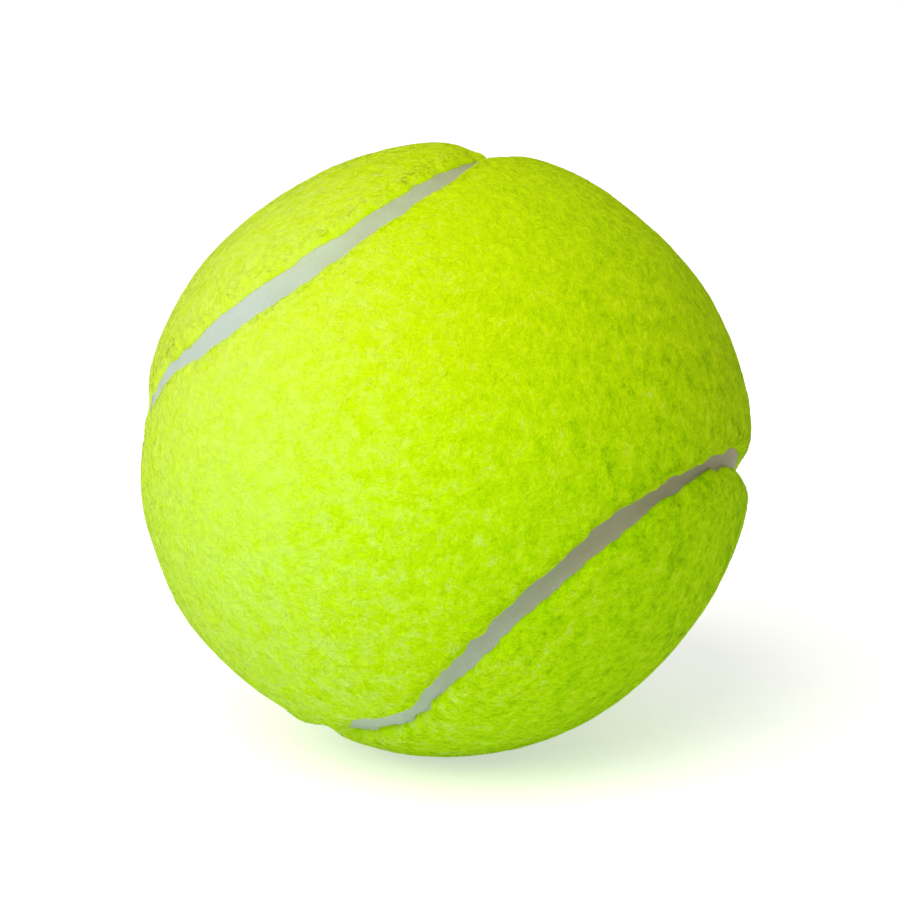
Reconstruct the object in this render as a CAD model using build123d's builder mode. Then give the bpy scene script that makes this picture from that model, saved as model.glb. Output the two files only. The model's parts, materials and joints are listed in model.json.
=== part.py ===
from build123d import *
from math import acos, asin, atan, cos, degrees, radians, sin, sqrt, tan
import os

# A tennis ball. Two moulded rubber half shells, cemented edge to edge, make its hollow core.
# Two dumb-bell panels of felt, each backed with a coat of rubber cement, interlock all over the core.
# Seam rubber fills the one closed line between the panels, a little below the felt.
# The origin is the centre of the ball, and the halves of the core meet in the XY plane.

# Driving dimensions, in millimetres
ball_diameter = 66.0
felt_thickness = 3.0
felt_edge_radius = 1.6
backing_thickness = 0.3
core_wall = 3.3
joint_thickness = 0.2
joint_bead_height = 1.6
joint_bead_depth = 0.5
panel_waist = 42.0
seam_width = 3.0
seam_recess = 1.5
seam_dish = 0.2

# How the cover lies on the core, in degrees: where the waist of panel a faces, and its turn about that line
waist_azimuth = -53.0
waist_elevation = 40.8
waist_roll = -28.6

# How far the groove between the panels is cut past the layers that it divides, in millimetres
groove_overrun = 1.0

# Radii of the layers, from the felt inwards
ball_radius = ball_diameter / 2
backing_radius = ball_radius - felt_thickness
core_radius = backing_radius - backing_thickness
cavity_radius = core_radius - core_wall
seam_radius = ball_radius - seam_recess

# The seam is four equal arcs, each about its own lobe axis, and they run smoothly together at four points.
# The lobe axes lean to and fro from the plane of those points, and the width of the waist fixes their lean.
waist_half_angle = asin(panel_waist / 2 / ball_radius)
lobe_lean = atan((sqrt(0.5) - sin(waist_half_angle)) / cos(waist_half_angle))
lobe_angle = acos(cos(lobe_lean) * sqrt(0.5))
arc_turn = 2 * degrees(acos(-sin(lobe_lean) * sqrt(0.5) / sin(lobe_angle)))

# The cover's own axes: Z through the waist of panel a, X and Y through the four points where the arcs meet
cover = Plane.XY.rotated((waist_azimuth, 90 - waist_elevation, waist_roll), Intrinsic.ZYZ)
centre = cover.origin
waist_axis = Axis(centre, cover.z_dir)


def seam_band(floor_radius, top_radius, dish):
    """A closed band along the seam, as wide as the seam, with a dished top."""
    half_width = seam_width / 2
    with BuildPart() as band:
        for quarter in range(4):
            side = 1 if quarter % 2 == 0 else -1
            meeting_bearing = radians(90 * quarter)
            lobe_bearing = radians(90 * quarter + 45)
            lobe = Vector(cos(lobe_bearing), sin(lobe_bearing), side * tan(lobe_lean))
            arc_axis = cover.from_local_coords(lobe * -side)
            meeting = cover.from_local_coords(Vector(cos(meeting_bearing), sin(meeting_bearing)))
            with BuildSketch(Plane(centre, x_dir=meeting, z_dir=meeting.cross(arc_axis))):
                with BuildLine():
                    wall = Line((floor_radius, -half_width), (top_radius, -half_width))
                    top = ThreePointArc(wall @ 1, (top_radius - dish, 0), (top_radius, half_width))
                    Line(top @ 1, (floor_radius, half_width))
                    Line((floor_radius, half_width), wall @ 0)
                make_face()
            revolve(axis=Axis(centre, arc_axis), revolution_arc=arc_turn)
    return band.part


def panel_layer(inner_radius, outer_radius):
    """A spherical layer of the cover, divided by the seam into the layers of panel a and panel b."""
    with BuildPart() as layer:
        Sphere(outer_radius)
        Sphere(inner_radius, mode=Mode.SUBTRACT)
        add(seam_groove, mode=Mode.SUBTRACT)
    panel_b, panel_a = layer.solids().sort_by(waist_axis)
    return {"a": panel_a, "b": panel_b}


os.makedirs("parts", exist_ok=True)

# Core: two half shells with flat edges, a cement joint apart
for name, side, kept in (("core_half_upper", 1, Keep.TOP), ("core_half_lower", -1, Keep.BOTTOM)):
    with BuildPart() as core_half:
        Sphere(core_radius)
        Sphere(cavity_radius, mode=Mode.SUBTRACT)
        split(bisect_by=Plane.XY.offset(side * joint_thickness / 2), keep=kept)
    core_half.part.label = name
    export_step(core_half.part, f"parts/{name}.step")

# Cement between the half shells, squeezed out inside the core into a rounded bead
joint_outer_angle = degrees(asin(joint_thickness / 2 / core_radius))
joint_inner_angle = degrees(asin(joint_thickness / 2 / cavity_radius))
bead_angle = degrees(asin(joint_bead_height / 2 / cavity_radius))
with BuildPart() as core_joint_cement:
    with BuildSketch(Plane.XZ):
        with BuildLine():
            rim = CenterArc((0, 0), core_radius, -joint_outer_angle, 2 * joint_outer_angle)
            upper_foot = CenterArc((0, 0), cavity_radius, joint_inner_angle, bead_angle - joint_inner_angle)
            lower_foot = CenterArc((0, 0), cavity_radius, -bead_angle, bead_angle - joint_inner_angle)
            Line(rim @ 1, upper_foot @ 0)
            ThreePointArc(upper_foot @ 1, (cavity_radius - joint_bead_depth, 0), lower_foot @ 0)
            Line(lower_foot @ 1, rim @ 0)
        make_face()
    revolve(axis=Axis.Z)
core_joint_cement.part.label = "core_joint_cement"
export_step(core_joint_cement.part, "parts/core_joint_cement.step")

# Cover: the two panels' cement backings, then the felt with its outer edges rolled down towards the seam
seam_groove = seam_band(core_radius - groove_overrun, ball_radius + groove_overrun, groove_overrun / 2)
backing_layer = panel_layer(core_radius, backing_radius)
felt_layer = panel_layer(backing_radius, ball_radius)
for letter in ("a", "b"):
    with BuildPart() as panel_backing:
        add(backing_layer[letter])
    panel_backing.part.label = f"panel_backing_{letter}"
    export_step(panel_backing.part, f"parts/panel_backing_{letter}.step")

    with BuildPart() as felt_panel:
        add(felt_layer[letter])
        edge_walls = felt_panel.faces().filter_by(GeomType.CONE)
        outer_rim = edge_walls.edges().group_by(lambda edge: round((edge @ 0.5).length, 2))[-1]
        fillet(outer_rim, felt_edge_radius)
    felt_panel.part.label = f"felt_panel_{letter}"
    export_step(felt_panel.part, f"parts/felt_panel_{letter}.step")

# Seam rubber, seated on the core and filling the line between the panels
with BuildPart() as seam_strip:
    add(seam_band(core_radius - groove_overrun, seam_radius, seam_dish))
    Sphere(core_radius, mode=Mode.SUBTRACT)
seam_strip.part.label = "seam_strip"
export_step(seam_strip.part, "parts/seam_strip.step")
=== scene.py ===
import json
from math import acos, asin, atan, cos, degrees, pi, radians, sin, sqrt, tan

import bmesh
import bpy
import numpy as np
from mathutils import Matrix, Vector, noise

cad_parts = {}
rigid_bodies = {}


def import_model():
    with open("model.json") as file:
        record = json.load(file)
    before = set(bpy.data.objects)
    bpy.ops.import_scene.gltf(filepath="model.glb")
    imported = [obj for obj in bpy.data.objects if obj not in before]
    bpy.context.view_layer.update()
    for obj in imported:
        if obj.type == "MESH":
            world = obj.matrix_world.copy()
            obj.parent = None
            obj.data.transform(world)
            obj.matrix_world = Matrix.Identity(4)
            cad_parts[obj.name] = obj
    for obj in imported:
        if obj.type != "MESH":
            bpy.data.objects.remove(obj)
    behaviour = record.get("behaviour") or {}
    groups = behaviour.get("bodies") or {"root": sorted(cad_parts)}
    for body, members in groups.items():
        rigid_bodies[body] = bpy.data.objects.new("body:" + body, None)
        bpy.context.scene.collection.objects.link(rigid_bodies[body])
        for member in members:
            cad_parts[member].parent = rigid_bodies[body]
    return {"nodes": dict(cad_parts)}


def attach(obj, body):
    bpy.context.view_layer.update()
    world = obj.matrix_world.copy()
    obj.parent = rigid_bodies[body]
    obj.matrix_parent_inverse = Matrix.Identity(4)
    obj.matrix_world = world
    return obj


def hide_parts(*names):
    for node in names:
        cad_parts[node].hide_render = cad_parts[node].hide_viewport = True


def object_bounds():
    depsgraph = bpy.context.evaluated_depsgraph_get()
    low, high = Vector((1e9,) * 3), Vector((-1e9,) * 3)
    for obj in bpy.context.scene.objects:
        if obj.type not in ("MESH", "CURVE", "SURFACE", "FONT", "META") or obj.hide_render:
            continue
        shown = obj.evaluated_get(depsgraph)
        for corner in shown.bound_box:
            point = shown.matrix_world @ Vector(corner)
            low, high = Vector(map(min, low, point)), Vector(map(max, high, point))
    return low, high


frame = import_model()
cad_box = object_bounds()

# Driving sizes, in metres. The ball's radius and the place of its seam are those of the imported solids.
ball_radius = (cad_box[1].z - cad_box[0].z) / 2
felt_thickness = 0.0030
backing_thickness = 0.0003
seam_recess = 0.0015
seam_dish = 0.00025
seam_lip = 0.00025
cad_seam_width = 0.0030
panel_waist = 0.042

# How the cover lies on the core, in degrees: where the waist of panel a faces, and its turn about that line
waist_azimuth = -53.0
waist_elevation = 40.8
waist_roll = -28.6

# The seam at thirty-two places, eight to an arc: half its width, and how far it strays towards panel a
seam_half_widths = (
    0.00087, 0.00118, 0.00125, 0.00125, 0.00080, 0.00060, 0.00125, 0.00150,
    0.00135, 0.00140, 0.00145, 0.00138, 0.00130, 0.00135, 0.00140, 0.00138,
    0.00135, 0.00095, 0.00065, 0.00045, 0.00130, 0.00155, 0.00185, 0.00175,
    0.00115, 0.00120, 0.00130, 0.00135, 0.00140, 0.00150, 0.00050, 0.00205,
)
seam_strays = (
    0.00080, 0.00030, 0.00010, 0.00022, 0.00020, 0.00053, 0.00045, 0.00040,
    0.00000, 0.00005, 0.00010, 0.00005, 0.00000, -0.00005, -0.00010, -0.00005,
    0.00000, -0.00038, -0.00075, -0.00100, -0.00055, -0.00023, 0.00005, -0.00018,
    -0.00030, 0.00030, 0.00000, 0.00005, 0.00010, 0.00050, 0.00005, 0.00225,
)
# A stretch where the seam rubber stands higher: how high, its place and half its length along the seam, both
# in arcs, and how far it widens on each side for its height
seam_rise, seam_rise_place, seam_rise_length = 0.0004, 3.10, 0.07
seam_rise_spread = 0.8
# How far the seam rubber sags and how high it ripples, and how long the waves of each are
seam_sag, seam_sag_length = 0.00008, 0.006
seam_ripple, seam_ripple_length = 0.00003, 0.0012
# How far the edge of the felt strays from the seam's edge, in long waves and small tufts, and their lengths
edge_sway, edge_sway_length = 0.00030, 0.0065
edge_tuft, edge_tuft_length = 0.00038, 0.0022
# Finer tufts on top of those: their size as a share, and how many times shorter they are
fine_tuft_share, fine_tuft_shorter = 0.6, 2.3

# The felt's rolled edge: how far it reaches in from the edge, and down
roll_reach = 0.0016
roll_drop = 0.0014
# How much the felt is pressed down beside its edges, and how far in from them
edge_dip, edge_dip_reach = 0.00030, 0.004

# Lumps of the felt: how high, and how far across
felt_lumps = ((0.00010, 0.014), (0.00008, 0.005), (0.00005, 0.0016))
# Swells and hollows on the outline that the photo shows: degrees round from the right, half their width, and
# their height; and how many degrees each runs on towards the camera and away from it
outline_swells = (
    (9, 10, 0.00018), (48, 12, -0.00035), (81.5, 5, -0.00080), (93, 8, 0.00030), (123, 13, -0.00035),
    (171.5, 3.5, -0.00055), (176, 8, -0.00012), (191, 8, 0.00018), (213, 9, 0.00028), (238, 9, -0.00018),
    (242, 3, 0.00030), (247, 2.5, -0.00050), (320, 16, -0.00036), (348, 7, 0.00022), (356.6, 3.2, -0.00078),
)
swell_depth = 10.0
# Where in the noise each kind of unevenness starts, so that no two are alike
sway_start, tuft_start, fine_tuft_start = 3.1, 7.7, 11.3
lump_start, sag_start, ripple_start, ripple_step = 20.0, 41.0, 50.0, 0.35

# Mesh of the cover: columns along each arc of the seam, and rows up the wall, over the roll, on to the spine,
# underneath, and across the seam rubber; and how much closer the rows on top lie near the edge
arc_columns = 192
wall_rows = 4
roll_rows = 9
top_rows = 42
back_rows = 12
seam_rows = 14
top_row_crowding = 1.25

# Nap, in three layers to a panel: fibres, rings to a fibre, their length, and how high they arch for it
nap_layers = {
    "under": (16000, 2, 0.0017, 0.008),
    "middle": (16000, 2, 0.0015, 0.014),
    "upper": (10700, 3, 0.0015, 0.024),
}
# Half the width and height of a fibre for its length, and how much of an arch a fibre with a free end makes
fibre_half_width = 0.045
fibre_half_height = 0.006
free_end_arch = 0.62
# The shortest and longest fibre for its layer's length, the share left at the edge, and the range of tones
fibre_lengths = (0.65, 1.3)
edge_fibre_length = 0.5
fibre_tones = (0.03, 0.17)
# How the nap lies: the width of its swirls in metres, and how far fibres turn and tilt from them, in radians
nap_swirl, nap_spin, nap_tilt = 0.003, 1.3, 0.02
# How far down the rolled edge the nap begins, and how far above that it is full, as shares of the roll's drop
nap_begins, nap_thickens = 0.6, 0.4

# Colours, linear
# The darkest felt colour is painted shade: only the flecks on the shaded side of the ball reach it
felt_painted_shade = (0.280, 0.540, 0.000, 1)
felt_deep = (0.421, 0.764, 0.000, 1)
felt_green = (0.551, 0.861, 0.001, 1)
felt_bright = (0.569, 0.868, 0.006, 1)
# The pale felt colour is pale flecks, and its whitish tone is also a painted sheen on the lit side
felt_pale_and_painted_sheen = (0.629, 0.903, 0.140, 1)
# Tints of painted light: greener below, in shade, and yellower on top, in warm light
felt_painted_shade_tint = (0.900, 1.000, 1.000, 1)
felt_painted_warm_light_tint = (1.000, 0.933, 1.000, 1)
felt_down = (0.800, 1.000, 0.050, 1)
seam_grey = (0.445, 0.545, 0.515, 1)
# The darker, browner seam rubber colours are partly dust and partly painted shade on the shaded side
seam_dull_and_painted_shade = (0.345, 0.375, 0.265, 1)
seam_dusty_and_painted_shade = (0.310, 0.275, 0.160, 1)
# Tint of painted warm light on top of the seam rubber
seam_painted_warm_light_tint = (1.000, 1.000, 0.800, 1)
core_black = (0.035, 0.034, 0.033, 1)
core_bloom = (0.090, 0.088, 0.084, 1)
cement_tan = (0.360, 0.260, 0.130, 1)
cement_dark = (0.220, 0.150, 0.070, 1)
floor_white = (0.860, 0.860, 0.860, 1)
plain_white = (1.000, 1.000, 1.000, 1)
# The felt's colour ramp, from painted shade at its darkest stop to pale flecks and painted sheen at its
# palest
felt_dye_and_painted_light = (
    (0.02, felt_painted_shade), (0.22, felt_deep), (0.42, felt_green), (0.48, felt_bright), (0.74, felt_pale_and_painted_sheen),
)
# Felt hardly shines, its down catches light from the side, and light passes a little way into its body
felt_finish = {
    "Specular_IOR_Level": 0.02, "Sheen_Weight": 0.2, "Sheen_Roughness": 0.5, "Sheen_Tint": felt_down,
}
felt_body = {"Subsurface_Weight": 0.3, "Subsurface_Radius": (1.0, 1.0, 0.3), "Subsurface_Scale": 0.0003}
# How much the felt's slopes are shaded as if they faced straight out of the ball
fuzz_share = 0.55

# The ways along which the felt carries painted light and shade and the seam rubber grows dusty and darker,
# and their slopes:
# how far along that way each starts and ends, in metres, and the values it runs between
# Painted highlight: the felt is paler on its lit side and darker on the other
painted_highlight_side, painted_highlight_slope = (-1.0, 0.0, 0.0), (-0.026, 0.026, 0.19, 0.50)
# Painted warm light: the felt is yellower on top and greener below
painted_warm_light_side, painted_warm_light_slope = (0.0, 0.26, 0.97), (-0.015, 0.015, 0.0, 1.0)
# Painted shade: the felt's flecks grow stronger and darker on its shaded side
painted_shade_side, painted_shade_slope = (0.8, -0.2, -0.6), (-0.020, 0.030, 0.50, 1.70)
# Partly dust, partly painted shade: the seam rubber grows darker and browner on the shaded side
dust_and_painted_shade_side, dust_and_painted_shade_slope = (1.0, 0.0, 0.2), (-0.016, 0.034, 0.0, 1.0)
# Painted warm light on top of the seam rubber
seam_painted_warm_light_slope = (0.014, 0.021, 0.0, 1.0)
# How fine each finish is, in waves to a metre
fleck_grain, felt_relief_grain, ground_grain = 560, 800, 2600
dust_grain, seam_rubber_grain = 260, 1500
core_grain, cement_grain = 300, 500

# Softboxes: degrees round from the camera and up, metres away and across, watts, and colour
softboxes = {
    "key": (-36, 45, 0.9, 1.0, 8.6, (1.0, 0.93, 0.86)),
    "fill": (50, 65, 0.9, 0.6, 0.5, (1.0, 0.95, 0.88)),
}
# How brightly the backdrop and the floor glow: as they light the ball, and as they are seen
backdrop_glow = (0.35, 1.0)
floor_glow = (0.12, 0.50)
floor_reach = 3.0

# Camera, as the photo was taken: degrees above the horizon, metres away, and the picture in pixels
camera_elevation = 15.0
camera_distance = 0.528
picture_side = 900
ball_in_picture = (445.1, 450.5)
ball_radius_in_picture = 306.3
sensor_width = 36.0

backing_radius = ball_radius - felt_thickness
core_radius = backing_radius - backing_thickness
seam_radius = ball_radius - seam_recess
waist_half_angle = asin(panel_waist / 2 / ball_radius)
lobe_lean = atan((sqrt(0.5) - sin(waist_half_angle)) / cos(waist_half_angle))
lobe_angle = acos(cos(lobe_lean) * sqrt(0.5))
half_turn = acos(-sin(lobe_lean) * sqrt(0.5) / sin(lobe_angle))
cover = (
    Matrix.Rotation(radians(waist_azimuth), 3, "Z")
    @ Matrix.Rotation(radians(90 - waist_elevation), 3, "Y")
    @ Matrix.Rotation(radians(waist_roll), 3, "Z")
)


# Materials


def new_material(name, roughness, **settings):
    """A material with one Principled shader, its constants set on the shader's own sockets."""
    material = bpy.data.materials.new(name)
    material.use_nodes = True
    shader = material.node_tree.nodes["Principled BSDF"]
    shader.inputs["Roughness"].default_value = roughness
    for socket, value in settings.items():
        shader.inputs[socket.replace("_", " ")].default_value = value
    return material, material.node_tree, shader


def add_node(tree, kind, **inputs):
    node = tree.nodes.new(kind)
    for name, value in inputs.items():
        node.inputs[name.replace("_", " ")].default_value = value
    return node


def object_noise(tree, scale, detail, rough=0.5):
    """Noise on the piece's own coordinates, in lumps about 1 / scale metres across."""
    place = tree.nodes.new("ShaderNodeTexCoord")
    grain = add_node(tree, "ShaderNodeTexNoise", Scale=scale, Detail=detail, Roughness=rough)
    tree.links.new(place.outputs["Object"], grain.inputs["Vector"])
    return grain.outputs["Fac"]


def colour_ramp(tree, factor, *stops):
    ramp = tree.nodes.new("ShaderNodeValToRGB")
    while len(ramp.color_ramp.elements) < len(stops):
        ramp.color_ramp.elements.new(1)
    for element, (position, colour) in zip(ramp.color_ramp.elements, stops):
        element.position = position
        element.color = colour
    tree.links.new(factor, ramp.inputs["Fac"])
    return ramp.outputs["Color"]


def add_bump(tree, shader, height, distance, strength):
    bump = add_node(tree, "ShaderNodeBump", Distance=distance, Strength=strength)
    tree.links.new(height, bump.inputs["Height"])
    tree.links.new(bump.outputs["Normal"], shader.inputs["Normal"])
    return bump


def slope_across(tree, direction, low, high, start, end):
    """A value that runs from start to end across the ball, between two distances along a direction."""
    place = tree.nodes.new("ShaderNodeTexCoord")
    along = tree.nodes.new("ShaderNodeVectorMath")
    along.operation = "DOT_PRODUCT"
    along.inputs[1].default_value = direction
    tree.links.new(place.outputs["Object"], along.inputs[0])
    slope = add_node(tree, "ShaderNodeMapRange", From_Min=low, From_Max=high, To_Min=start, To_Max=end)
    slope.interpolation_type = "SMOOTHSTEP"
    tree.links.new(along.outputs["Value"], slope.inputs["Value"])
    return slope.outputs["Result"]


def of_values(tree, operation, first, second):
    """The sum, product or greater of two values, as the operation says."""
    result = tree.nodes.new("ShaderNodeMath")
    result.operation = operation
    tree.links.new(first, result.inputs[0])
    tree.links.new(second, result.inputs[1])
    return result.outputs[0]


def multiplied(tree, first, second):
    """Two colours, multiplied."""
    product = add_node(tree, "ShaderNodeMix", Factor=1.0)
    product.data_type, product.blend_type = "RGBA", "MULTIPLY"
    tree.links.new(first, product.inputs[6])
    tree.links.new(second, product.inputs[7])
    return product.outputs[2]


def felt_colour(tree, own_tone):
    """The felt's flecks with the piece's own tone, a painted highlight on the lit side, painted shade in the
    flecks opposite, and painted warm light on top.
    """
    fleck = add_node(tree, "ShaderNodeMapRange", To_Min=-0.5, To_Max=0.5)
    tree.links.new(object_noise(tree, fleck_grain, detail=5, rough=0.8), fleck.inputs["Value"])
    # Painted shade: the flecks grow stronger and darker on the shaded side
    painted_shade_flecks = slope_across(tree, painted_shade_side, *painted_shade_slope)
    # Painted highlight: paler on the lit side, darker on the other
    painted_highlight = slope_across(tree, painted_highlight_side, *painted_highlight_slope)
    tone = of_values(tree, "MULTIPLY", fleck.outputs["Result"], painted_shade_flecks)
    tone = of_values(tree, "ADD", of_values(tree, "ADD", tone, own_tone), painted_highlight)
    dye_and_painted_light = colour_ramp(tree, tone, *felt_dye_and_painted_light)
    # Painted warm light: yellower on top, greener below
    painted_warm_light = slope_across(tree, painted_warm_light_side, *painted_warm_light_slope)
    painted_warmth = colour_ramp(tree, painted_warm_light, (0.0, felt_painted_shade_tint), (1.0, felt_painted_warm_light_tint))
    return multiplied(tree, dye_and_painted_light, painted_warmth)


def felt_relief(tree, shader):
    """The felt's fine lumps. Fuzz scatters light, so its slopes are shaded partly as if facing outwards."""
    lumps = object_noise(tree, felt_relief_grain, detail=4, rough=0.65)
    bump = add_bump(tree, shader, lumps, distance=0.0005, strength=0.75)
    place = tree.nodes.new("ShaderNodeTexCoord")
    outward = tree.nodes.new("ShaderNodeVectorTransform")
    outward.vector_type, outward.convert_from, outward.convert_to = "NORMAL", "OBJECT", "WORLD"
    tree.links.new(place.outputs["Object"], outward.inputs["Vector"])
    facing = tree.nodes.new("ShaderNodeNewGeometry")
    between = add_node(tree, "ShaderNodeMix", Factor=fuzz_share)
    between.data_type = "VECTOR"
    tree.links.new(facing.outputs["Normal"], between.inputs[4])
    tree.links.new(outward.outputs["Vector"], between.inputs[5])
    unit = tree.nodes.new("ShaderNodeVectorMath")
    unit.operation = "NORMALIZE"
    tree.links.new(between.outputs[1], unit.inputs[0])
    tree.links.new(unit.outputs["Vector"], bump.inputs["Normal"])


def felt_ground_material():
    """The matted body of the felt, seen between the fibres."""
    material, tree, shader = new_material("felt_ground", roughness=0.95, **felt_finish, **felt_body)
    own_tone = add_node(tree, "ShaderNodeMapRange", To_Max=0.18)
    tree.links.new(object_noise(tree, ground_grain, detail=2), own_tone.inputs["Value"])
    tree.links.new(felt_colour(tree, own_tone.outputs["Result"]), shader.inputs["Base Color"])
    felt_relief(tree, shader)
    return material


def felt_fibre_material():
    """The nap, whose fibres differ a little in tone from one to the next."""
    material, tree, shader = new_material("felt_fibre", roughness=0.9, **felt_finish)
    own_tone = tree.nodes.new("ShaderNodeAttribute")
    own_tone.attribute_name = "fibre_tone"
    tree.links.new(felt_colour(tree, own_tone.outputs["Fac"]), shader.inputs["Base Color"])
    felt_relief(tree, shader)
    return material


def seam_rubber_material():
    """Cured seam rubber, pale grey on one side of the ball and darker and browner towards the other, partly
    dust and partly painted shade.
    """
    material, tree, shader = new_material("seam_rubber", roughness=0.62, Specular_IOR_Level=0.35)
    # Partly dust, partly painted shade: darker and browner towards the shaded side
    dust_and_painted_shade = slope_across(tree, dust_and_painted_shade_side, *dust_and_painted_shade_slope)
    uneven = add_node(tree, "ShaderNodeMapRange", To_Min=-0.3, To_Max=0.3)
    tree.links.new(object_noise(tree, dust_grain, detail=5, rough=0.6), uneven.inputs["Value"])
    dust_and_painted_shade = of_values(tree, "ADD", dust_and_painted_shade, uneven.outputs["Result"])
    colour = colour_ramp(tree, dust_and_painted_shade, (0.0, seam_grey), (0.5, seam_dull_and_painted_shade), (1.0, seam_dusty_and_painted_shade))
    # Painted warm light: yellower on top
    painted_warm_light = slope_across(tree, painted_warm_light_side, *seam_painted_warm_light_slope)
    painted_warmth = colour_ramp(tree, painted_warm_light, (0.0, plain_white), (1.0, seam_painted_warm_light_tint))
    tree.links.new(multiplied(tree, colour, painted_warmth), shader.inputs["Base Color"])
    pores = object_noise(tree, seam_rubber_grain, detail=4, rough=0.6)
    add_bump(tree, shader, pores, distance=0.0001, strength=0.35)
    return material


def mottled_material(name, dark, light, roughness, scale):
    """Rubber or cement in two shades, with a grain five times as fine as its mottles."""
    material, tree, shader = new_material(name, roughness)
    mottles = object_noise(tree, scale, detail=5, rough=0.6)
    tree.links.new(colour_ramp(tree, mottles, (0.35, dark), (0.75, light)), shader.inputs["Base Color"])
    add_bump(tree, shader, object_noise(tree, scale * 5, detail=3), distance=0.0001, strength=0.4)
    return material


# The seam, column by column


def seam_columns():
    """For each column: its arc's side, the lobe axis, the way out from it, and the turn along the arc."""
    rows = []
    for arc in range(4):
        side = 1 if arc % 2 == 0 else -1
        bearing = radians(90 * arc + 45)
        axis = Vector((cos(bearing), sin(bearing), side * tan(lobe_lean))).normalized()
        crest = (Vector((0, 0, side)) - axis * axis.z * side).normalized()
        along = crest.cross(axis) * side
        for step in range(arc_columns):
            turn = half_turn * (2 * step / arc_columns - 1)
            out = crest * cos(turn) + along * sin(turn)
            rows.append((side, *(cover @ axis), *(cover @ out), turn))
    return np.array(rows)


columns = seam_columns()
column_side = columns[:, 0]
lobe_axes = columns[:, 1:4]
lobe_outs = columns[:, 4:7]
column_turn = columns[:, 7]
column_count = len(columns)


def from_seam(angle):
    """Unit directions at this angle from the seam, towards panel a, one to a column."""
    polar = lobe_angle + column_side * angle
    return np.cos(polar)[:, None] * lobe_axes + np.sin(polar)[:, None] * lobe_outs


def waves(points, length, start):
    """Smooth noise at the points, from about -1 to 1, with waves about this long."""
    shift = Vector((start, start * 1.7, start * 2.3))
    return np.array([noise.noise(Vector(point) / length + shift) for point in points])


def panel_reach(panel_side):
    """How far each column runs into the panel, in radians: to the lobe's centre, or to the panel's spine."""
    spine = np.arctan2(cos(lobe_lean), np.cos(column_turn) * sin(lobe_lean)) - lobe_angle
    return np.where(column_side == panel_side, spine, lobe_angle)


def along_seam(values):
    """Values at even places along the closed seam, eased from each to the next, at every column."""
    place = np.arange(column_count) * len(values) / column_count
    before = place.astype(int)
    ease = (1 - np.cos(pi * (place - before))) / 2
    values = np.array(values)
    return values[before] * (1 - ease) + values[(before + 1) % len(values)] * ease


def felt_edge(panel_side):
    """How far the edge of the felt stands from the middle of the seam at each column, in metres."""
    line = from_seam(0.0) * ball_radius
    width = along_seam(seam_half_widths) + panel_side * along_seam(seam_strays)
    sway = edge_sway * waves(line, edge_sway_length, sway_start + panel_side)
    tufts = edge_tuft * waves(line, edge_tuft_length, tuft_start + 2 * panel_side)
    fine_length = edge_tuft_length / fine_tuft_shorter
    tufts += fine_tuft_share * edge_tuft * waves(line, fine_length, fine_tuft_start + panel_side)
    return width + sway + tufts


def photo_direction():
    """The way from the ball to the camera."""
    return Vector((0, -cos(radians(camera_elevation)), sin(radians(camera_elevation))))


# Cover pieces


def grid_faces(rows, closed):
    """Four-sided faces between neighbouring rows of columns, and from the last to the first where closed."""
    faces = []
    for row in range(rows if closed else rows - 1):
        here, there = row * column_count, (row + 1) % rows * column_count
        for column in range(column_count):
            after = (column + 1) % column_count
            faces.append((here + column, here + after, there + after, there + column))
    return faces


def new_piece(name, points, faces, material):
    """A smooth closed mesh, with its doubles merged and its faces turned outwards, at the origin."""
    mesh = bpy.data.meshes.new(name)
    mesh.from_pydata([tuple(point) for point in points], [], faces)
    shape = bmesh.new()
    shape.from_mesh(mesh)
    bmesh.ops.remove_doubles(shape, verts=shape.verts, dist=1e-7)
    bmesh.ops.dissolve_degenerate(shape, edges=shape.edges, dist=1e-8)
    bmesh.ops.recalc_face_normals(shape, faces=shape.faces)
    shape.to_mesh(mesh)
    shape.free()
    mesh.polygons.foreach_set("use_smooth", np.ones(len(mesh.polygons), bool))
    mesh.materials.append(material)
    piece = bpy.data.objects.new(name, mesh)
    bpy.context.scene.collection.objects.link(piece)
    return piece


def felt_lump(directions):
    """How far the felt's surface stands above the ball's radius: its lumps, and the swells on its outline."""
    surface = directions * ball_radius
    lump = sum(height * waves(surface, length, lump_start + length * 1000) for height, length in felt_lumps)
    lens = photo_direction()
    picture_up = Vector((1, 0, 0)).cross(-lens)
    round_picture = np.degrees(np.arctan2(directions @ np.array(picture_up), directions[:, 0]))
    outline = degrees(asin(ball_radius / camera_distance))
    from_outline = np.degrees(np.arcsin(directions @ np.array(lens))) - outline
    for bearing, half_wide, height in outline_swells:
        aside = (round_picture - bearing + 180) % 360 - 180
        away = np.hypot(aside / half_wide, from_outline / swell_depth)
        lump += height * np.exp(-away * away)
    return lump


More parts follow.
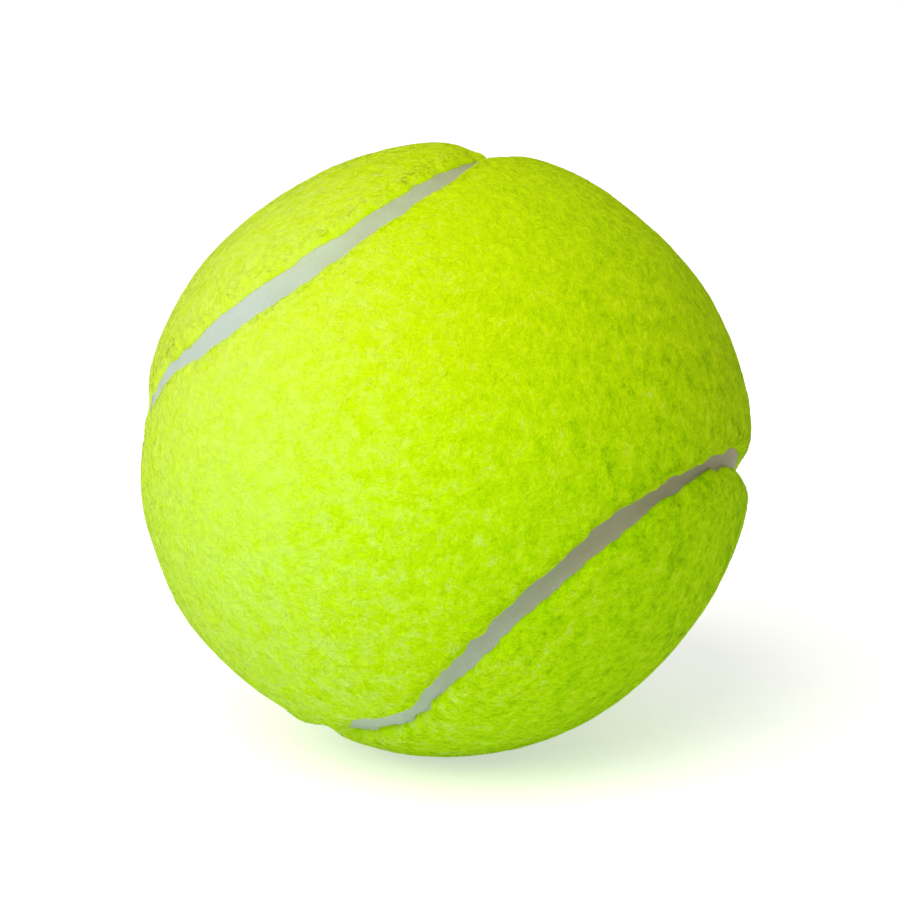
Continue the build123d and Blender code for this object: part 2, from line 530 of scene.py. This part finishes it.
def felt_panel(letter, panel_side, edge):
    """A closed panel of felt: underneath from spine to edge, up its wall, over the roll and back on top."""
    reach = panel_reach(panel_side)
    layers = []

    def add_row(lateral, radius, lump):
        directions = from_seam(panel_side * lateral)
        swell = felt_lump(directions) * lump if lump else 0.0
        layers.append(directions * np.reshape(radius + swell, (-1, 1)))

    first = np.arcsin(edge / backing_radius)
    for step in range(back_rows):
        add_row(reach + (first - reach) * step / back_rows, backing_radius, 0.0)
    for step in range(wall_rows):
        radius = backing_radius + (felt_thickness - roll_drop) * step / wall_rows
        add_row(np.arcsin(edge / radius), radius, 0.0)
    for step in range(roll_rows):
        share = step / roll_rows
        dip = edge_dip * np.exp(-roll_reach * share / edge_dip_reach)
        radius = ball_radius - dip - (roll_drop - edge_dip) * (1 - share) ** 2
        add_row(np.arcsin((edge + roll_reach * share) / radius), radius, share)
    first = np.arcsin((edge + roll_reach) / ball_radius)
    for step in range(top_rows + 1):
        inward = (reach - first) * (step / top_rows) ** top_row_crowding
        dip = edge_dip * np.exp(-(roll_reach + inward * ball_radius) / edge_dip_reach)
        add_row(first + inward, ball_radius - dip * (1 - step / top_rows), 1.0)
    faces = grid_faces(len(layers), closed=False)
    return new_piece(f"felt_{letter}", np.concatenate(layers), faces, felt_ground)


def seam_rubber_strip(edge_a, edge_b):
    """The seam's closed band: seated on the core, dished on top, and as wide as the felt leaves it."""
    foot = cad_seam_width / 2
    layers = []

    def add_row(lateral, radius):
        layers.append(from_seam(np.arcsin(lateral / radius)) * np.reshape(radius, (-1, 1)))

    line = from_seam(0.0) * ball_radius
    sag = seam_sag * waves(line, seam_sag_length, sag_start)
    from_rise = (np.arange(column_count) / arc_columns - seam_rise_place) / seam_rise_length
    rise = seam_rise * np.exp(-from_rise * from_rise)
    for step in range(seam_rows + 1):
        across = 2 * step / seam_rows - 1
        climb = seam_lip * across**8
        half_width = np.where(across < 0, edge_b, edge_a) + seam_rise_spread * rise
        dish = seam_dish * (1 - across * across)
        ripple = seam_ripple * waves(line, seam_ripple_length, ripple_start + step * ripple_step)
        lateral = half_width * across + np.sign(across) * climb
        add_row(lateral, seam_radius + rise - dish + climb + sag + ripple)
    add_row(edge_a, backing_radius)
    add_row(foot, backing_radius)
    add_row(foot, core_radius)
    add_row(0.0, core_radius)
    add_row(-foot, core_radius)
    add_row(-foot, backing_radius)
    add_row(-edge_b, backing_radius)
    faces = grid_faces(len(layers), closed=True)
    return new_piece("seam_rubber", np.concatenate(layers), faces, seam_rubber)


# Nap


def curled_fibre(name, rings, sideways, wander, lift, free_end):
    """A fibre of unit length, thin at both ends: it curls sideways, wanders, and arches up from the felt."""
    knots = np.linspace(0, 1, rings + 2)
    fine_steps = 40
    fine = np.linspace(0, 1, fine_steps + 1)
    heading = sideways * (fine - 0.5) + wander * np.sin(2 * pi * fine)
    x = np.concatenate([[0], np.cumsum(np.cos(heading[:-1]))]) / fine_steps
    y = np.concatenate([[0], np.cumsum(np.sin(heading[:-1]))]) / fine_steps
    z = lift * np.sin(pi * fine * (free_end_arch if free_end else 1.0)) - 0.5 * fibre_half_height
    path = np.stack([np.interp(knots, fine, w) for w in (x - x.mean(), y - y.mean(), z)], 1)
    points = [path[0]]
    for knot in range(1, rings + 1):
        ahead = path[knot + 1] - path[knot - 1]
        ahead = ahead / np.linalg.norm(ahead)
        across = np.cross((0, 0, 1), ahead)
        across = across / np.linalg.norm(across)
        above = np.cross(ahead, across)
        for corner in range(3):
            turn = 2 * pi * corner / 3 + pi / 2
            aside, up = fibre_half_width * cos(turn), fibre_half_height * sin(turn)
            points.append(path[knot] + aside * across + up * above)
    points.append(path[-1])
    last = len(points) - 1
    faces = []
    for corner in range(3):
        after = (corner + 1) % 3
        faces.append((0, 1 + after, 1 + corner))
        for ring in range(1, last - 3, 3):
            faces.append((ring + corner, ring + after, ring + 3 + after, ring + 3 + corner))
        faces.append((last - 3 + corner, last - 3 + after, last))
    mesh = bpy.data.meshes.new(name)
    mesh.from_pydata([tuple(point) for point in points], [], faces)
    return bpy.data.objects.new(name, mesh)


def fibre_kinds(rings, lift):
    """A hidden collection of fibres that differ in their curl, to be scattered over the felt."""
    kinds = bpy.data.collections.new("fibre_kinds")
    curls = (
        (0.5, 0.3, False), (-0.8, -0.4, False), (1.4, 0.2, True), (-1.7, 0.5, False),
        (2.3, -0.3, True), (-2.6, 0.2, False), (0.9, -0.9, True), (-1.2, 0.8, True),
    )
    for number, (sideways, wander, free_end) in enumerate(curls):
        kinds.objects.link(curled_fibre(f"fibre_{number}", rings, sideways, wander, lift, free_end))
    return kinds


def nap_tree(kinds):
    """Geometry nodes that scatter curled fibres over a panel of felt, along a swirling lie."""
    tree = bpy.data.node_groups.new("felt_nap", "GeometryNodeTree")
    sockets = {}
    for name, kind in (
        ("Felt", "NodeSocketGeometry"),
        ("Fibres per square metre", "NodeSocketFloat"),
        ("Fibre length", "NodeSocketFloat"),
        ("Swirl size", "NodeSocketFloat"),
        ("Spin", "NodeSocketFloat"),
        ("Tilt", "NodeSocketFloat"),
        ("Seed", "NodeSocketInt"),
        ("Fibre material", "NodeSocketMaterial"),
    ):
        sockets[name] = tree.interface.new_socket(name, in_out="INPUT", socket_type=kind).identifier
    tree.interface.new_socket("Nap", in_out="OUTPUT", socket_type="NodeSocketGeometry")
    nodes, link = tree.nodes, tree.links.new
    given = nodes.new("NodeGroupInput").outputs
    result = nodes.new("NodeGroupOutput")

    def random_value(kind, low, high, step):
        value = nodes.new("FunctionNodeRandomValue")
        value.data_type = kind
        live = [socket for socket in value.inputs if socket.enabled]
        live[0].default_value, live[1].default_value = low, high
        shifted = nodes.new("ShaderNodeMath")
        shifted.inputs[1].default_value = step
        link(given["Seed"], shifted.inputs[0])
        link(shifted.outputs[0], value.inputs["Seed"])
        return next(socket for socket in value.outputs if socket.enabled)

    def math(operation, first, second):
        node = nodes.new("ShaderNodeMath")
        node.operation = operation
        for socket, value in zip(node.inputs, (first, second)):
            if isinstance(value, (int, float)):
                socket.default_value = value
            else:
                link(value, socket)
        return node.outputs[0]

    cover_share = nodes.new("GeometryNodeInputNamedAttribute")
    cover_share.data_type = "FLOAT"
    cover_share.inputs["Name"].default_value = "nap_cover"
    scatter = nodes.new("GeometryNodeDistributePointsOnFaces")
    link(given["Felt"], scatter.inputs["Mesh"])
    density = math("MULTIPLY", given["Fibres per square metre"], cover_share.outputs["Attribute"])
    link(density, scatter.inputs["Density"])
    link(given["Seed"], scatter.inputs["Seed"])

    swirl = nodes.new("ShaderNodeTexNoise")
    swirl.inputs["Detail"].default_value = 1.0
    link(math("DIVIDE", 1.0, given["Swirl size"]), swirl.inputs["Scale"])
    place = nodes.new("GeometryNodeInputPosition")
    link(place.outputs[0], swirl.inputs["Vector"])
    lie = nodes.new("ShaderNodeVectorMath")
    lie.operation = "SUBTRACT"
    lie.inputs[1].default_value = (0.5, 0.5, 0.5)
    link(swirl.outputs["Color"], lie.inputs[0])
    stand = nodes.new("FunctionNodeAxesToRotation")
    stand.primary_axis, stand.secondary_axis = "Z", "X"
    link(scatter.outputs["Normal"], stand.inputs[0])
    link(lie.outputs[0], stand.inputs[1])

    spin = random_value("FLOAT", -1.0, 1.0, 1)
    tilt = random_value("FLOAT", -1.0, 1.0, 2)
    turn = nodes.new("ShaderNodeCombineXYZ")
    link(math("MULTIPLY", tilt, given["Tilt"]), turn.inputs["Y"])
    link(math("MULTIPLY", spin, given["Spin"]), turn.inputs["Z"])
    turned = nodes.new("FunctionNodeRotateRotation")
    turned.rotation_space = "LOCAL"
    link(stand.outputs[0], turned.inputs[0])
    link(turn.outputs[0], turned.inputs[1])

    length = math("MULTIPLY", given["Fibre length"], random_value("FLOAT", *fibre_lengths, 3))
    grown = math("MULTIPLY", cover_share.outputs["Attribute"], 1 - edge_fibre_length)
    length = math("MULTIPLY", length, math("ADD", grown, edge_fibre_length))
    tone = nodes.new("GeometryNodeStoreNamedAttribute")
    tone.data_type, tone.domain = "FLOAT", "POINT"
    tone.inputs["Name"].default_value = "fibre_tone"
    link(scatter.outputs["Points"], tone.inputs["Geometry"])
    link(random_value("FLOAT", *fibre_tones, 4), tone.inputs["Value"])

    shapes = nodes.new("GeometryNodeCollectionInfo")
    shapes.inputs["Collection"].default_value = kinds
    shapes.inputs["Separate Children"].default_value = True
    shapes.inputs["Reset Children"].default_value = True
    planted = nodes.new("GeometryNodeInstanceOnPoints")
    planted.inputs["Pick Instance"].default_value = True
    link(tone.outputs["Geometry"], planted.inputs["Points"])
    link(shapes.outputs[0], planted.inputs["Instance"])
    link(random_value("INT", 0, len(kinds.objects) - 1, 5), planted.inputs["Instance Index"])
    link(turned.outputs[0], planted.inputs["Rotation"])
    link(length, planted.inputs["Scale"])

    real = nodes.new("GeometryNodeRealizeInstances")
    link(planted.outputs["Instances"], real.inputs["Geometry"])
    dressed = nodes.new("GeometryNodeSetMaterial")
    link(real.outputs["Geometry"], dressed.inputs["Geometry"])
    link(given["Fibre material"], dressed.inputs["Material"])
    link(dressed.outputs["Geometry"], result.inputs["Nap"])
    return tree, sockets


def mark_nap_cover(panel):
    """Notes on the panel where fibres grow, all over its outside and a little way down its rolled edge.

    The area that they grow on comes back.
    """
    mesh = panel.data
    points = np.zeros(len(mesh.vertices) * 3)
    mesh.vertices.foreach_get("co", points)
    radius = np.linalg.norm(points.reshape(-1, 3), axis=1)
    lowest = ball_radius - nap_begins * roll_drop
    cover_share = np.clip((radius - lowest) / (nap_thickens * roll_drop), 0, 1)
    mesh.attributes.new("nap_cover", "FLOAT", "POINT").data.foreach_set("value", cover_share)
    return sum(face.area * cover_share[list(face.vertices)].mean() for face in mesh.polygons)


def nap_on(panel, name, rings, lift, **sizes):
    """One piece of nap on a panel, turned to a plain mesh."""
    kinds = fibre_kinds(rings, lift)
    tree, sockets = nap_tree(kinds)
    bed = bpy.data.objects.new("nap_bed", panel.data)
    bpy.context.scene.collection.objects.link(bed)
    grow = bed.modifiers.new("nap", "NODES")
    grow.node_group = tree
    for socket, value in sizes.items():
        grow[sockets[socket.replace("_", " ")]] = value
    grown = bed.evaluated_get(bpy.context.evaluated_depsgraph_get())
    mesh = bpy.data.meshes.new_from_object(grown)
    mesh.name = name
    nap = bpy.data.objects.new(name, mesh)
    bpy.context.scene.collection.objects.link(nap)
    bpy.data.objects.remove(bed)
    bpy.data.node_groups.remove(tree)
    bpy.data.batch_remove([fibre.data for fibre in kinds.objects])
    bpy.data.collections.remove(kinds)
    return nap


# Light, floor and camera


def aim(thing, target):
    thing.rotation_euler = (Vector(target) - thing.location).to_track_quat("-Z", "Y").to_euler()


def softbox(name, azimuth, elevation, distance, across, power, colour):
    lamp = bpy.data.lights.new(name, "AREA")
    lamp.shape = "DISK"
    lamp.size = across
    lamp.energy = power
    lamp.color = colour
    box = bpy.data.objects.new(name, lamp)
    bpy.context.scene.collection.objects.link(box)
    a, e = radians(azimuth), radians(elevation)
    box.location = Vector((sin(a) * cos(e), -cos(a) * cos(e), sin(e))) * distance
    aim(box, (0, 0, 0))


def seen_rays(tree):
    """One for rays that the lens sees, straight, by reflection or through glass, and nought for others."""
    path = tree.nodes.new("ShaderNodeLightPath")
    seen = of_values(tree, "MAXIMUM", path.outputs["Is Camera Ray"], path.outputs["Is Glossy Ray"])
    return of_values(tree, "MAXIMUM", seen, path.outputs["Is Transmission Ray"])


def studio():
    world = bpy.data.worlds.new("studio")
    bpy.context.scene.world = world
    world.use_nodes = True
    backdrop = world.node_tree.nodes["Background"]
    backdrop.inputs["Color"].default_value = plain_white
    shown = add_node(world.node_tree, "ShaderNodeMapRange", To_Min=backdrop_glow[0], To_Max=backdrop_glow[1])
    world.node_tree.links.new(seen_rays(world.node_tree), shown.inputs["Value"])
    world.node_tree.links.new(shown.outputs["Result"], backdrop.inputs["Strength"])
    for name, settings in softboxes.items():
        softbox(name, *settings)


def floor_sheet():
    mesh = bpy.data.meshes.new("floor")
    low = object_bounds()[0].z
    corners = [(x * floor_reach, y * floor_reach, low) for x, y in ((-1, -1), (1, -1), (1, 1), (-1, 1))]
    mesh.from_pydata(corners, [], [(0, 1, 2, 3)])
    material, tree, shader = new_material(
        "floor_white", roughness=0.9,
        Base_Color=floor_white, Specular_IOR_Level=0.0, Emission_Color=plain_white,
    )
    glow = add_node(tree, "ShaderNodeMapRange", To_Min=floor_glow[0], To_Max=floor_glow[1])
    tree.links.new(seen_rays(tree), glow.inputs["Value"])
    tree.links.new(glow.outputs["Result"], shader.inputs["Emission Strength"])
    mesh.materials.append(material)
    sheet = bpy.data.objects.new("floor", mesh)
    bpy.context.scene.collection.objects.link(sheet)


def photo_camera():
    lens = bpy.data.cameras.new("camera")
    lens.sensor_width = sensor_width
    pixels = ball_radius_in_picture * sqrt(camera_distance**2 - ball_radius**2) / ball_radius
    lens.lens = pixels * sensor_width / picture_side
    lens.shift_x = (picture_side / 2 - ball_in_picture[0]) / picture_side
    lens.shift_y = (ball_in_picture[1] - picture_side / 2) / picture_side
    lens.clip_start = 0.01
    camera = bpy.data.objects.new("camera", lens)
    bpy.context.scene.collection.objects.link(camera)
    camera.location = photo_direction() * camera_distance
    aim(camera, (0, 0, 0))
    bpy.context.scene.camera = camera


felt_ground = felt_ground_material()
felt_fibre = felt_fibre_material()
seam_rubber = seam_rubber_material()
core_rubber = mottled_material("core_rubber", core_black, core_bloom, roughness=0.75, scale=core_grain)
rubber_cement = mottled_material("rubber_cement", cement_dark, cement_tan, roughness=0.55, scale=cement_grain)

edges = {"a": felt_edge(1), "b": felt_edge(-1)}
for letter, panel_side in (("a", 1), ("b", -1)):
    panel = felt_panel(letter, panel_side, edges[letter])
    napped_area = mark_nap_cover(panel)
    naps = []
    for number, (layer, (fibres, rings, length, lift)) in enumerate(nap_layers.items()):
        nap = nap_on(
            panel, f"nap_{layer}_{letter}", rings, lift,
            Fibres_per_square_metre=fibres / napped_area,
            Fibre_length=length,
            Swirl_size=nap_swirl,
            Spin=nap_spin,
            Tilt=nap_tilt,
            Seed=10 * number + panel_side + 2,
            Fibre_material=felt_fibre,
        )
        naps.append(nap)
    for piece in (panel, *naps):
        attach(piece, "root")
    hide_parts(f"felt_panel_{letter}")

strip = seam_rubber_strip(edges["a"], edges["b"])
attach(strip, "root")
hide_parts("seam_strip")

for node, material in (
    ("core_half_upper", core_rubber),
    ("core_half_lower", core_rubber),
    ("core_joint_cement", rubber_cement),
    ("panel_backing_a", rubber_cement),
    ("panel_backing_b", rubber_cement),
):
    for holder in frame["nodes"][node].material_slots:
        holder.material = material

studio()
floor_sheet()
photo_camera()
bpy.context.scene.view_settings.view_transform = "Standard"
